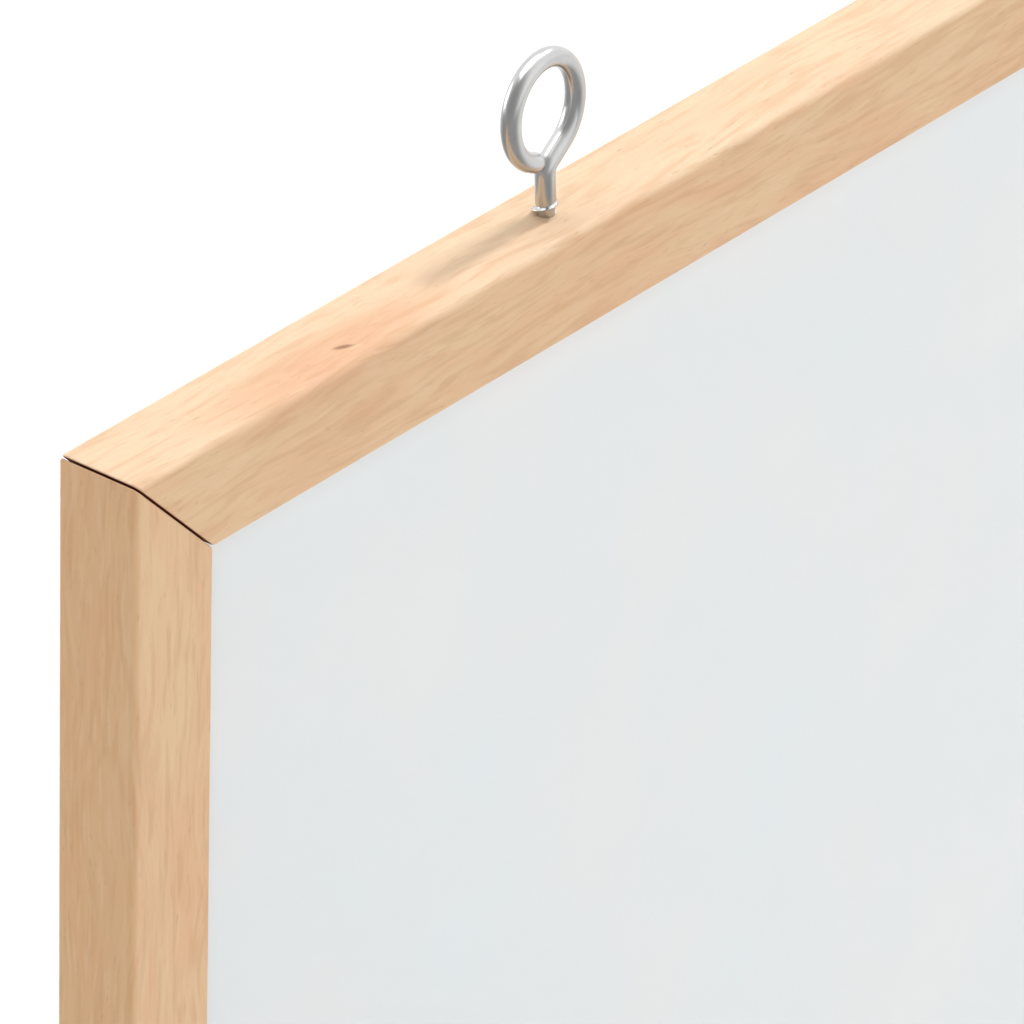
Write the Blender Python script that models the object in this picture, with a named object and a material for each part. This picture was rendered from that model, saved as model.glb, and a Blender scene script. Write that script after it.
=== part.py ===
"""Magnetic whiteboard in a mitred beech frame, hung by two screw eyes.

Metres, +Z up. The board stands upright: +X runs along its width, the writing side faces -Y,
and the origin lies under the middle of the bottom rail, halfway through the frame's depth.
The frame is four lengths of one rebated moulding. A lacquered steel sheet, a fibreboard core
and a paper liner lie in the rebate, and sprung framer's points hold them in from behind.
V-nails hold the mitres, and the screw eyes are turned into the top rail.
"""

import math

import bmesh
import bpy
from mathutils import Matrix, Vector

# Whole board
BOARD_WIDTH = 0.600
BOARD_HEIGHT = 0.400

# Moulding section: the face looks forward, the depth runs from front to back
FACE_WIDTH = 0.020
MOULDING_DEPTH = 0.017
LIP_THICKNESS = 0.005
REBATE_WIDTH = 0.006
RIDGE_RADIUS = 0.0016
SIGHT_RADIUS = 0.0008
BACK_RADIUS = 0.0008
END_ROUNDING = 0.0005
ARC_STEPS = 4
END_STEPS = 3

# Clearances
MITRE_GAP = 0.0003
SEAT_GAP = 0.0003
RING_END_GAP = 0.0003
PILOT_END_GAP = 0.0006

# Panel layers
STEEL_THICKNESS = 0.0005
CORE_THICKNESS = 0.005
LINER_THICKNESS = 0.0005
LINER_MARGIN = 0.002

# Screw eyes: heights are measured up the shank from the top of the rail
EYE_INSET = 0.1179
EYE_TWIST = math.radians(2.9)
EYE_LEAN = math.radians(3.5)
WIRE_RADIUS = 0.00185
RING_RADIUS = 0.0094
BEND_RADIUS = 0.0027
BEND_ANGLE = math.radians(59)
BEND_START = 0.0074
WIRE_STEP = math.radians(9)
WIRE_END_STEPS = 4
WIRE_END_SWEEP = math.radians(80)
WIRE_BEVEL_RESOLUTION = 6
SCREW_DEPTH = 0.0122
TIP_LENGTH = 0.0045
TIP_RADIUS = 0.0003
ROOT_RADIUS = 0.0016
NECK_HEIGHT = 0.0015
NECK_LENGTH = 0.0006
THREAD_CREST_RADIUS = 0.0025
THREAD_PITCH = 0.0030
THREAD_START = 0.0034
THREAD_START_ANGLE = math.radians(57)
THREAD_BASE = 0.0013
THREAD_SINK = 0.0005
THREAD_STEPS = 16
THREAD_RUN_OUT_TURNS = 0.5
THREAD_LEAST_SHARE = 0.15
PILOT_STEPS = 24

# V-nails across each mitre, driven from the back
V_NAIL_LEG = 0.0045
V_NAIL_FLARE = 0.0008
V_NAIL_FLARE_LENGTH = 0.0018
V_NAIL_THICKNESS = 0.0005
V_NAIL_HEIGHT = 0.0070
V_NAIL_SUNK = 0.0004
V_NAIL_INSET = 0.0065
V_NAIL_SPACING = 0.0045
V_NAILS_PER_CORNER = 2

# Framer's points that hold the panel in
POINT_TAB_LENGTH = 0.020
POINT_TAB_WIDTH = 0.008
POINT_TAB_THICKNESS = 0.0005
POINT_TAB_BITE = 0.0055
POINT_TAB_TAPER = 0.0035
POINT_TAB_NOSE = 0.002
POINT_TAB_CORNER = 0.0015
POINTS_ALONG_WIDTH = 3
POINTS_ALONG_HEIGHT = 2
POINT_TAB_INSET = 0.070

# Places worked out from the sizes above
FRONT_Y = -MOULDING_DEPTH / 2
BACK_Y = MOULDING_DEPTH / 2
LIP_BACK_Y = FRONT_Y + LIP_THICKNESS
STEEL_FRONT_Y = LIP_BACK_Y + SEAT_GAP
CORE_FRONT_Y = STEEL_FRONT_Y + STEEL_THICKNESS + SEAT_GAP
LINER_FRONT_Y = CORE_FRONT_Y + CORE_THICKNESS + SEAT_GAP
TAB_FRONT_Y = LINER_FRONT_Y + LINER_THICKNESS + SEAT_GAP
REBATE_WALL = FACE_WIDTH - REBATE_WIDTH
EDGE_X = BOARD_WIDTH / 2
BOARD_CENTRE_Z = BOARD_HEIGHT / 2

# The four lengths of moulding: length, middle of the outer edge, turn about Y, and framer's points
RAILS = {
    "top_rail": (BOARD_WIDTH, Vector((0, 0, BOARD_HEIGHT)), 0.0, POINTS_ALONG_WIDTH),
    "right_stile": (BOARD_HEIGHT, Vector((EDGE_X, 0, BOARD_CENTRE_Z)), math.pi / 2, POINTS_ALONG_HEIGHT),
    "bottom_rail": (BOARD_WIDTH, Vector((0, 0, 0)), math.pi, POINTS_ALONG_WIDTH),
    "left_stile": (BOARD_HEIGHT, Vector((-EDGE_X, 0, BOARD_CENTRE_Z)), -math.pi / 2, POINTS_ALONG_HEIGHT),
}


def clear_scene():
    """Takes out whatever the file opened with."""
    for old in list(bpy.data.objects):
        bpy.data.objects.remove(old, do_unlink=True)


def finish_material(name, colour, roughness, metallic=0.0):
    """A plain Principled finish, made once and shared by name."""
    material = bpy.data.materials.get(name)
    if material is None:
        material = bpy.data.materials.new(name)
        material.use_nodes = True
        shader = material.node_tree.nodes["Principled BSDF"]
        shader.inputs["Base Color"].default_value = (*colour, 1.0)
        shader.inputs["Roughness"].default_value = roughness
        shader.inputs["Metallic"].default_value = metallic
    return material


def beech():
    return finish_material("beech", (0.72, 0.50, 0.31), 0.55)


def white_lacquer():
    return finish_material("white_lacquer", (0.80, 0.82, 0.82), 0.18)


def fibreboard():
    return finish_material("fibreboard", (0.33, 0.22, 0.13), 0.85)


def liner_paper():
    return finish_material("liner_paper", (0.52, 0.38, 0.25), 0.90)


def zinc_wire():
    return finish_material("zinc_wire", (0.62, 0.64, 0.66), 0.28, 1.0)


def blued_steel():
    return finish_material("blued_steel", (0.24, 0.25, 0.27), 0.38, 1.0)


def add_object(name, mesh, material=None):
    """Links a mesh to the scene as a named object."""
    made = bpy.data.objects.new(name, mesh)
    bpy.context.scene.collection.objects.link(made)
    if material is not None:
        made.data.materials.append(material)
    return made


def mesh_from(name, vertices, faces):
    """A mesh from its points and faces, with every face turned outwards."""
    mesh = bpy.data.meshes.new(name)
    mesh.from_pydata([tuple(v) for v in vertices], [], faces)
    shape = bmesh.new()
    shape.from_mesh(mesh)
    bmesh.ops.recalc_face_normals(shape, faces=shape.faces)
    shape.to_mesh(mesh)
    shape.free()
    return mesh


def shade_round(mesh, sharp_degrees=35):
    """Smooth shading that still shows the true edges."""
    mesh.shade_smooth()
    mesh.set_sharp_from_angle(angle=math.radians(sharp_degrees))


def as_cutter(tool):
    """A helper that cuts or joins, and is no part of the object itself."""
    tool.hide_render = True
    tool.display_type = "WIRE"
    return tool


def boolean(target, tool, operation):
    """Adds one Boolean between two objects with Blender's exact solver."""
    modifier = target.modifiers.new(f"{operation.lower()}_{tool.name}", "BOOLEAN")
    modifier.operation = operation
    modifier.solver = "EXACT"
    modifier.object = tool


def outline_normal(points, index):
    """The way out at a corner of an anticlockwise outline, long enough to offset both sides by 1."""
    before = (points[index] - points[index - 1]).normalized()
    after = (points[(index + 1) % len(points)] - points[index]).normalized()
    first = Vector((before.y, -before.x))
    second = Vector((after.y, -after.x))
    return (first + second) / (1 + first.dot(second))


def rounded_outline(corners):
    """An outline whose corners, each given with a radius, are turned into arcs."""
    points = []
    count = len(corners)
    for index, (corner, radius) in enumerate(corners):
        if radius == 0:
            points.append(corner)
            continue
        before = (corners[index - 1][0] - corner).normalized()
        after = (corners[(index + 1) % count][0] - corner).normalized()
        half = before.angle(after) / 2
        reach = radius / math.tan(half)
        centre = corner + (before + after).normalized() * (radius / math.sin(half))
        start = corner + before * reach - centre
        sweep = start.angle_signed(corner + after * reach - centre)
        for step in range(ARC_STEPS + 1):
            turn = -sweep * step / ARC_STEPS
            points.append(centre + Matrix.Rotation(turn, 2) @ start)
    return points


def moulding_outline():
    """The moulding's section: x is the distance in from the outer edge, y the distance back from the face."""
    return rounded_outline([
        (Vector((0, 0)), RIDGE_RADIUS),
        (Vector((FACE_WIDTH, 0)), SIGHT_RADIUS),
        (Vector((FACE_WIDTH, LIP_THICKNESS)), 0),
        (Vector((REBATE_WALL, LIP_THICKNESS)), 0),
        (Vector((REBATE_WALL, MOULDING_DEPTH)), 0),
        (Vector((0, MOULDING_DEPTH)), BACK_RADIUS),
    ])


def moulding_sections(length):
    """The section at each station along the moulding, drawn in a little where the mitred ends are eased."""
    outline = moulding_outline()
    normals = [outline_normal(outline, index) for index in range(len(outline))]
    setback = MITRE_GAP / 2 * math.sqrt(2)
    sections = []
    for end in (-1, 1):
        eased = []
        for step in range(END_STEPS + 1):
            angle = step / END_STEPS * math.pi / 2
            drawn_in = END_ROUNDING * (1 - math.sin(angle))
            back_off = END_ROUNDING * (1 - math.cos(angle)) * math.sqrt(2)
            section = []
            for point, normal in zip(outline, normals):
                inward, back = point - normal * drawn_in
                along = end * (length / 2 - inward - setback - back_off)
                section.append(Vector((along, FRONT_Y + back, -inward)))
            eased.append(section)
        sections += eased if end < 0 else eased[::-1]
    return sections


def moulding_mesh(name, length):
    """One mitred length of moulding: sections bridged by quads, with a face at each end."""
    sections = moulding_sections(length)
    size = len(sections[0])
    vertices = [point for section in sections for point in section]
    faces = [tuple(range(size)), tuple(range(len(vertices) - size, len(vertices)))]
    for station in range(len(sections) - 1):
        here = station * size
        for index in range(size):
            following = (index + 1) % size
            faces.append((here + index, here + following, here + size + following, here + size + index))
    mesh = mesh_from(name, vertices, faces)
    shade_round(mesh)
    return mesh


def extruded_outline(name, outline, thickness):
    """A flat outline in XZ given a thickness along +Y."""
    size = len(outline)
    vertices = [Vector((p.x, y, p.y)) for y in (0, thickness) for p in outline]
    faces = [tuple(range(size)), tuple(range(size, 2 * size))]
    for index in range(size):
        following = (index + 1) % size
        faces.append((index, following, size + following, size + index))
    return mesh_from(name, vertices, faces)


def rectangle(left, right, bottom, top):
    """A rectangle's four corners, anticlockwise."""
    return [Vector((left, bottom)), Vector((right, bottom)), Vector((right, top)), Vector((left, top))]


def build_rails():
    """The four mitred lengths, each turned so that its outer edge faces out."""
    rails = {}
    for name, (length, place, turn, _) in RAILS.items():
        rail = add_object(name, moulding_mesh(name, length), beech())
        rail.location = place
        rail.rotation_euler = (0, turn, 0)
        rails[name] = rail
    return rails


def layer(name, front, thickness, margin, material):
    """A sheet that fills the rebate, set in from its walls by a margin."""
    half_width = EDGE_X - REBATE_WALL - margin
    half_height = BOARD_HEIGHT / 2 - REBATE_WALL - margin
    outline = rectangle(-half_width, half_width, -half_height, half_height)
    sheet = add_object(name, extruded_outline(name, outline, thickness), material)
    sheet.location = (0, front, BOARD_CENTRE_Z)


def build_panel():
    """Steel writing sheet, fibreboard core and the liner that balances it."""
    layer("writing_sheet", STEEL_FRONT_Y, STEEL_THICKNESS, SEAT_GAP, white_lacquer())
    layer("core_board", CORE_FRONT_Y, CORE_THICKNESS, SEAT_GAP, fibreboard())
    layer("back_liner", LINER_FRONT_Y, LINER_THICKNESS, SEAT_GAP + LINER_MARGIN, liner_paper())


def v_nail_outline(clearance):
    """A V with its apex at the origin and flared legs towards +x and +y, seen along the depth."""
    half = V_NAIL_THICKNESS / 2 + clearance
    tip = V_NAIL_LEG + clearance
    knee = V_NAIL_LEG - V_NAIL_FLARE_LENGTH
    outer = [Vector((-half, -half)), Vector((knee, -half)), Vector((tip, -half - V_NAIL_FLARE))]
    inner = [Vector((tip, half - V_NAIL_FLARE)), Vector((knee, half)), Vector((half, half))]
    mirrored = [Vector((p.y, p.x)) for p in reversed(outer[1:] + inner[:2])]
    return outer + inner + mirrored


def mitre_corners():
    """Each outer corner of the frame with the directions that lead out of it along X and Z."""
    for side, sx in (("left", -1), ("right", 1)):
        for level, sz in (("bottom", -1), ("top", 1)):
            corner = Vector((sx * EDGE_X, 0, BOARD_CENTRE_Z + sz * BOARD_HEIGHT / 2))
            yield f"{level}_{side}", corner, sx, sz


def v_nail_solid(name, corner, sx, sz, apex, clearance, front, back):
    """A V between two depths, with its apex on the mitre and its legs towards the outer corner."""
    outline = [Vector((sx * p.x, sz * p.y)) for p in v_nail_outline(clearance)]
    solid = add_object(name, extruded_outline(name, outline, back - front))
    solid.location = (corner.x - sx * apex, front, corner.z - sz * apex)
    return solid


def build_v_nails(rails):
    """Two V-nails over each mitre, in slots that they share with both members."""
    back = BACK_Y - V_NAIL_SUNK
    front = back - V_NAIL_HEIGHT
    for corner_name, corner, sx, sz in mitre_corners():
        rail = rails["top_rail" if sz > 0 else "bottom_rail"]
        stile = rails["right_stile" if sx > 0 else "left_stile"]
        for number in range(V_NAILS_PER_CORNER):
            name = f"v_nail_{corner_name}_{number + 1}"
            place = (corner, sx, sz, V_NAIL_INSET + V_NAIL_SPACING * number)
            nail = v_nail_solid(name, *place, 0.0, front, back)
            nail.data.materials.append(blued_steel())
            slot_name = f"slot_for_{name}"
            slot = as_cutter(v_nail_solid(slot_name, *place, SEAT_GAP, front - SEAT_GAP, BACK_Y + SEAT_GAP))
            for member in (rail, stile):
                boolean(member, slot, "DIFFERENCE")


def point_tab_outline():
    """A framer's point on the top rail: its nose is up in the wood, and its free end hangs below."""
    half = POINT_TAB_WIDTH / 2
    free = POINT_TAB_BITE - POINT_TAB_LENGTH
    shoulder = POINT_TAB_BITE - POINT_TAB_TAPER
    return rounded_outline([
        (Vector((-half, free)), POINT_TAB_CORNER),
        (Vector((half, free)), POINT_TAB_CORNER),
        (Vector((half, shoulder)), 0),
        (Vector((POINT_TAB_NOSE / 2, POINT_TAB_BITE)), 0),
        (Vector((-POINT_TAB_NOSE / 2, POINT_TAB_BITE)), 0),
        (Vector((-half, shoulder)), 0),
    ])


def point_tab_places():
    """Name, rail, place on the rebate wall and turn about Y of each framer's point."""
    for rail_name, (length, place, turn, count) in RAILS.items():
        span = length - 2 * (FACE_WIDTH + POINT_TAB_INSET)
        for number in range(count):
            along = -span / 2 + span * number / (count - 1)
            wall = place + Matrix.Rotation(turn, 3, "Y") @ Vector((along, 0, -REBATE_WALL))
            yield f"framers_point_{rail_name}_{number + 1}", rail_name, wall, turn


def build_framers_points(rails):
    """Sprung steel points along all four sides, each in a slit in the rebate's wall."""
    outline = point_tab_outline()
    half = POINT_TAB_WIDTH / 2 + SEAT_GAP
    slit_outline = rectangle(-half, half, -REBATE_WIDTH, POINT_TAB_BITE + SEAT_GAP)
    slit_height = POINT_TAB_THICKNESS + 2 * SEAT_GAP
    for name, rail_name, wall, turn in point_tab_places():
        tab = add_object(name, extruded_outline(name, outline, POINT_TAB_THICKNESS), blued_steel())
        tab.location = wall + Vector((0, TAB_FRONT_Y, 0))
        slit_name = f"slit_for_{name}"
        slit = as_cutter(add_object(slit_name, extruded_outline(slit_name, slit_outline, slit_height)))
        slit.location = wall + Vector((0, TAB_FRONT_Y - SEAT_GAP, 0))
        for piece in (tab, slit):
            piece.rotation_euler = (0, turn, 0)
        boolean(rails[rail_name], slit, "DIFFERENCE")


def polar(centre, radius, angle):
    return centre + Vector((math.cos(angle), math.sin(angle))) * radius


def arc_points(centre, radius, start, end):
    """Points along an arc, its own start left out, at the wire's angular step."""
    count = max(1, round(abs(end - start) / WIRE_STEP))
    return [polar(centre, radius, start + (end - start) * step / count) for step in range(1, count + 1)]


def ring_end_angle(ring_centre, bend_centre):
    """How far round the ring goes, so that its rounded end stops one gap short of the bend."""
    reach = BEND_RADIUS + 2 * WIRE_RADIUS + RING_END_GAP
    to_bend = bend_centre - ring_centre
    away = to_bend.length
    opening = (RING_RADIUS ** 2 + away ** 2 - reach ** 2) / (2 * RING_RADIUS * away)
    return math.atan2(to_bend.y, to_bend.x) + 2 * math.pi - math.acos(max(-1.0, min(1.0, opening)))


def screw_eye_line():
    """The wire's centre line as (across, up, radius), from the screw's tip to the ring's rounded end."""
    sine, cosine = math.sin(BEND_ANGLE), math.cos(BEND_ANGLE)
    straight = (RING_RADIUS * cosine - BEND_RADIUS * (1 - cosine)) / sine
    bend_centre = Vector((BEND_RADIUS, BEND_START))
    bend_end = polar(bend_centre, BEND_RADIUS, math.pi - BEND_ANGLE)
    ring_start = bend_end + Vector((sine, cosine)) * straight
    ring_centre = polar(ring_start, RING_RADIUS, math.pi - BEND_ANGLE)
    ring_end = ring_end_angle(ring_centre, bend_centre)
    shank = [
        (0, -SCREW_DEPTH, TIP_RADIUS),
        (0, -SCREW_DEPTH + TIP_LENGTH, ROOT_RADIUS),
        (0, NECK_HEIGHT, ROOT_RADIUS),
        (0, NECK_HEIGHT + NECK_LENGTH, WIRE_RADIUS),
        (0, BEND_START, WIRE_RADIUS),
    ]
    bend = arc_points(bend_centre, BEND_RADIUS, math.pi, math.pi - BEND_ANGLE)
    ring = arc_points(ring_centre, RING_RADIUS, -BEND_ANGLE, ring_end)
    line = shank + [(p.x, p.y, WIRE_RADIUS) for p in bend + [ring_start] + ring]
    for step in range(1, WIRE_END_STEPS + 1):
        rounding = WIRE_END_SWEEP * step / WIRE_END_STEPS
        tip = polar(ring_centre, RING_RADIUS, ring_end + WIRE_RADIUS * math.sin(rounding) / RING_RADIUS)
        line.append((tip.x, tip.y, WIRE_RADIUS * math.cos(rounding)))
    return line


def wire_mesh(name):
    """The screw eye's wire: one bevelled curve, turned into a closed mesh."""
    curve = bpy.data.curves.new(name, "CURVE")
    curve.dimensions = "3D"
    curve.bevel_depth = WIRE_RADIUS
    curve.bevel_resolution = WIRE_BEVEL_RESOLUTION
    curve.use_fill_caps = True
    spline = curve.splines.new("POLY")
    line = screw_eye_line()
    spline.points.add(len(line) - 1)
    for point, (across, up, radius) in zip(spline.points, line):
        point.co = (across, 0, up, 1)
        point.radius = radius / WIRE_RADIUS
    drawn = add_object(name + "_line", curve)
    mesh = bpy.data.meshes.new_from_object(drawn)
    bpy.data.objects.remove(drawn)
    shape = bmesh.new()
    shape.from_mesh(mesh)
    bmesh.ops.remove_doubles(shape, verts=shape.verts, dist=1e-6)
    bmesh.ops.recalc_face_normals(shape, faces=shape.faces)
    shape.to_mesh(mesh)
    shape.free()
    return mesh


def root_radius_at(height):
    """The screw's root radius, which narrows to the tip."""
    share = min(1.0, (height + SCREW_DEPTH) / TIP_LENGTH)
    return TIP_RADIUS + (ROOT_RADIUS - TIP_RADIUS) * share


def thread_mesh(name):
    """The screw's thread: one right-handed ridge of triangular section, which fades at both ends."""
    turns = (THREAD_START + SCREW_DEPTH) / THREAD_PITCH - THREAD_RUN_OUT_TURNS / 2
    count = math.ceil(turns * THREAD_STEPS)
    vertices = []
    for step in range(count + 1):
        turn = turns * step / count
        height = THREAD_START - turn * THREAD_PITCH
        fade = min(turn, turns - turn) / THREAD_RUN_OUT_TURNS
        share = THREAD_LEAST_SHARE + (1 - THREAD_LEAST_SHARE) * min(1.0, fade)
        root = root_radius_at(height)
        crest = root + (THREAD_CREST_RADIUS - ROOT_RADIUS) * share
        foot = max(TIP_RADIUS / 2, root - THREAD_SINK)
        half_base = THREAD_BASE / 2 * share
        outwards = Matrix.Rotation(THREAD_START_ANGLE - turn * 2 * math.pi, 3, "Z") @ Vector((1, 0, 0))
        for radius, rise in ((foot, -half_base), (crest, 0), (foot, half_base)):
            vertices.append(outwards * radius + Vector((0, 0, height + rise)))
    last = len(vertices) - 3
    faces = [(0, 1, 2), (last, last + 1, last + 2)]
    for here in range(0, last, 3):
        for index in range(3):
            following = (index + 1) % 3
            faces.append((here + index, here + following, here + 3 + following, here + 3 + index))
    return mesh_from(name, vertices, faces)


def pilot_hole_mesh(name):
    """The blind hole that takes the screw, wide enough to clear the thread's crest."""
    radius = THREAD_CREST_RADIUS + SEAT_GAP
    bottom = -SCREW_DEPTH - PILOT_END_GAP
    top = THREAD_START
    shape = bmesh.new()
    bmesh.ops.create_cone(
        shape, cap_ends=True, segments=PILOT_STEPS, radius1=radius, radius2=radius, depth=top - bottom,
        matrix=Matrix.Translation((0, 0, (top + bottom) / 2)),
    )
    mesh = bpy.data.meshes.new(name)
    shape.to_mesh(mesh)
    shape.free()
    return mesh


def build_screw_eyes(top_rail):
    """Both screw eyes, with the pilot hole that each one is turned into."""
    for side, sx in (("left", -1), ("right", 1)):
        name = f"screw_eye_{side}"
        eye = add_object(name, wire_mesh(name), zinc_wire())
        thread = as_cutter(add_object(f"thread_of_{name}", thread_mesh(f"thread_of_{name}")))
        hole = as_cutter(add_object(f"pilot_hole_{side}", pilot_hole_mesh(f"pilot_hole_{side}")))
        for piece in (eye, thread, hole):
            piece.location = (sx * (EDGE_X - EYE_INSET), 0, BOARD_HEIGHT)
            piece.rotation_euler = (-EYE_LEAN, 0, EYE_TWIST)
        boolean(eye, thread, "UNION")
        shade_round(eye.data, sharp_degrees=50)
        boolean(top_rail, hole, "DIFFERENCE")


def main():
    clear_scene()
    rails = build_rails()
    build_panel()
    build_v_nails(rails)
    build_framers_points(rails)
    build_screw_eyes(rails["top_rail"])


main()
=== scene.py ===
# %% [markdown]
# # A magnetic whiteboard in a beech frame
#
# This lesson dresses a whiteboard that is already drawn as plain solids. The frame is four mitred
# lengths of beech moulding, the writing face is a lacquered steel sheet, and two zinc-plated screw
# eyes stand in the top rail.
#
# We begin by loading the solids. They hold every size and place, so nothing has to be measured
# again, and whatever we make here is fitted to them.

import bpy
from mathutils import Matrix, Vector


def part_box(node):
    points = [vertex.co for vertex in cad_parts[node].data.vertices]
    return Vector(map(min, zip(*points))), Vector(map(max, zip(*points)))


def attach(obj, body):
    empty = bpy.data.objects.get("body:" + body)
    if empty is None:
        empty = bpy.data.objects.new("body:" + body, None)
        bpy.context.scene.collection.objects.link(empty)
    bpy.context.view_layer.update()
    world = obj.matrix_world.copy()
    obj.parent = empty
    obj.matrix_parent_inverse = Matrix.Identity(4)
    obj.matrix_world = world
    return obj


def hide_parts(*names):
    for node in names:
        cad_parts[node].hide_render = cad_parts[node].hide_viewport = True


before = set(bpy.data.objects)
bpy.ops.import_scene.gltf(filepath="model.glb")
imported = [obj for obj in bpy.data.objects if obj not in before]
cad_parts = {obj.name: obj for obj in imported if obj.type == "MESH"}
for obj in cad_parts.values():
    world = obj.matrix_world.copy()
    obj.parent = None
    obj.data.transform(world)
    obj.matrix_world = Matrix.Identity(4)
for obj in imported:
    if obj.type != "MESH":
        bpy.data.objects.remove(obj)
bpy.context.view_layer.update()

# %% Modules
import math

import bmesh
import bpy
from mathutils import Matrix, Vector, noise

# %% [markdown]
# ## Reading sizes from the solids
#
# A box round a solid says how long, wide and deep it is. The board's outer size comes from the
# rails, and the depth of each layer from its own solid. Only what a box can't tell, such as the
# moulding's section, is written out here in metres.

# %% Sizes that the boxes give
boxes = [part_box(node) for node in ("top_rail", "bottom_rail", "left_stile", "right_stile")]
board_low = Vector([min(low[axis] for low, _ in boxes) for axis in range(3)])
board_high = Vector([max(high[axis] for _, high in boxes) for axis in range(3)])
WIDTH = board_high.x - board_low.x
HEIGHT = board_high.z - board_low.z
FRONT, BACK = board_low.y, board_high.y
DEPTH = BACK - FRONT
print(f"board {WIDTH * 1000:.1f} x {HEIGHT * 1000:.1f} x {DEPTH * 1000:.1f} mm")

# %% The moulding's section
FACE_WIDTH = 0.020
LIP_THICKNESS = 0.005
REBATE_WIDTH = 0.006
RIDGE_RADIUS = 0.0016
SIGHT_RADIUS = 0.0008
BACK_RADIUS = 0.0008
MITRE_GAP = 0.0003
END_ROUNDING = 0.0005
REBATE_WALL = FACE_WIDTH - REBATE_WIDTH

# %% [markdown]
# ## A helper that skins sections
#
# Nearly every part here is long and thin: a rail, a wire, a nail. Each could start as a primitive
# that is cut down, but it is simpler to draw its section at a row of stations and to stretch a
# skin over them. One small function then serves them all, and the sections say what the maker
# would measure.

# %% Skin a row of sections
def skin(name, sections, finish):
    """A closed mesh over sections that all have the same number of points."""
    shape = bmesh.new()
    rings = [[shape.verts.new(point) for point in section] for section in sections]
    for here, there in zip(rings, rings[1:]):
        for index, corner in enumerate(here):
            shape.faces.new((here[index - 1], corner, there[index], there[index - 1]))
    shape.faces.new(rings[0])
    shape.faces.new(rings[-1])
    bmesh.ops.recalc_face_normals(shape, faces=shape.faces)
    mesh = bpy.data.meshes.new(name)
    shape.to_mesh(mesh)
    shape.free()
    mesh.materials.append(finish)
    made = bpy.data.objects.new(name, mesh)
    bpy.context.scene.collection.objects.link(made)
    return made


# %% Shade curves smooth and keep edges crisp
def shade(piece, sharp_degrees=32):
    """Smooth shading that stops at real edges and lets broad flat faces stay flat."""
    piece.data.shade_smooth()
    piece.data.set_sharp_from_angle(angle=math.radians(sharp_degrees))
    weighting = piece.modifiers.new("flat_faces_lead", "WEIGHTED_NORMAL")
    weighting.keep_sharp = True


# %% Round a section's corners
def rounded(corners, steps=9):
    """An anticlockwise outline whose corners, each with a radius, are turned into arcs."""
    points = []
    for index, (corner, radius) in enumerate(corners):
        if radius == 0:
            points.append(corner)
            continue
        back = (corners[index - 1][0] - corner).normalized()
        ahead = (corners[(index + 1) % len(corners)][0] - corner).normalized()
        half = back.angle(ahead) / 2
        centre = corner + (back + ahead).normalized() * (radius / math.sin(half))
        start = corner + back * (radius / math.tan(half)) - centre
        sweep = start.angle_signed(corner + ahead * (radius / math.tan(half)) - centre)
        for step in range(steps + 1):
            points.append(centre + Matrix.Rotation(-sweep * step / steps, 2) @ start)
    return points


# %% Offset a section
def outward(points, index):
    """The way out at a corner, long enough to offset both of its sides by 1."""
    before = (points[index] - points[index - 1]).normalized()
    after = (points[(index + 1) % len(points)] - points[index]).normalized()
    first, second = Vector((before.y, -before.x)), Vector((after.y, -after.x))
    return (first + second) / (1 + first.dot(second))


def easing(amount, steps):
    """How far an edge is drawn in, and how far back it stops, at each step of a quarter round."""
    for step in range(steps + 1):
        angle = step / steps * math.pi / 2
        yield amount * (1 - math.sin(angle)), amount * (1 - math.cos(angle))


# %% [markdown]
# ## Tools for finishes
#
# A finish is a small network of nodes. Noise gives it detail, and what matters most is the scale
# of that noise: wood streaks are under a millimetre wide and many millimetres long. So we never
# use bare scale numbers. We say how long, wide and deep a mark is in metres, and a Mapping node
# turns that into the scale.

# %% Nodes in one line
def add(tree, kind, wires=None, **settings):
    """A new node with its settings made and its sockets wired or filled."""
    node = tree.nodes.new(kind)
    for key, value in settings.items():
        setattr(node, key, value)
    for key, value in (wires or {}).items():
        if isinstance(value, bpy.types.NodeSocket):
            tree.links.new(value, node.inputs[key])
        else:
            node.inputs[key].default_value = value
    return node


def figure(tree, operation, first, second=0.0):
    """One sum on two numbers."""
    return add(tree, "ShaderNodeMath", {0: first, 1: second}, operation=operation).outputs[0]


def vector(tree, operation, first, second):
    """One sum on two vectors."""
    return add(tree, "ShaderNodeVectorMath", {0: first, 1: second}, operation=operation).outputs["Vector"]


def length_of(tree, place):
    """How long a vector is."""
    return add(tree, "ShaderNodeVectorMath", {0: place}, operation="LENGTH").outputs["Value"]


def ease(tree, value, low, high, to_low=0.0, to_high=1.0):
    """Fades from to_low to to_high while the value goes from low to high."""
    wires = {"Value": value, "From Min": low, "From Max": high, "To Min": to_low, "To Max": to_high}
    return add(tree, "ShaderNodeMapRange", wires, interpolation_type="SMOOTHSTEP").outputs["Result"]


def tint(tree, share, first, second):
    """Mixes two colours by a share."""
    return add(tree, "ShaderNodeMix", {0: share, 6: first, 7: second}, data_type="RGBA").outputs[2]


# %% Marks of a real size
NOT_MOVED = (0.0, 0.0, 0.0)


def spread(tree, place, size, start=NOT_MOVED):
    """Places measured in marks of a size (along, deep, across) given in metres."""
    scale = [1 / length for length in size]
    return add(tree, "ShaderNodeMapping", {"Vector": place, "Location": start, "Scale": scale}).outputs[0]


def marks(tree, place, size, detail=2.0, roughness=0.5, start=NOT_MOVED):
    """Soft noise whose marks have a real size, from 0 to 1."""
    wires = {"Vector": spread(tree, place, size, start), "Scale": 1.0}
    wires |= {"Detail": detail, "Roughness": roughness}
    return add(tree, "ShaderNodeTexNoise", wires).outputs["Fac"]


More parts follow.
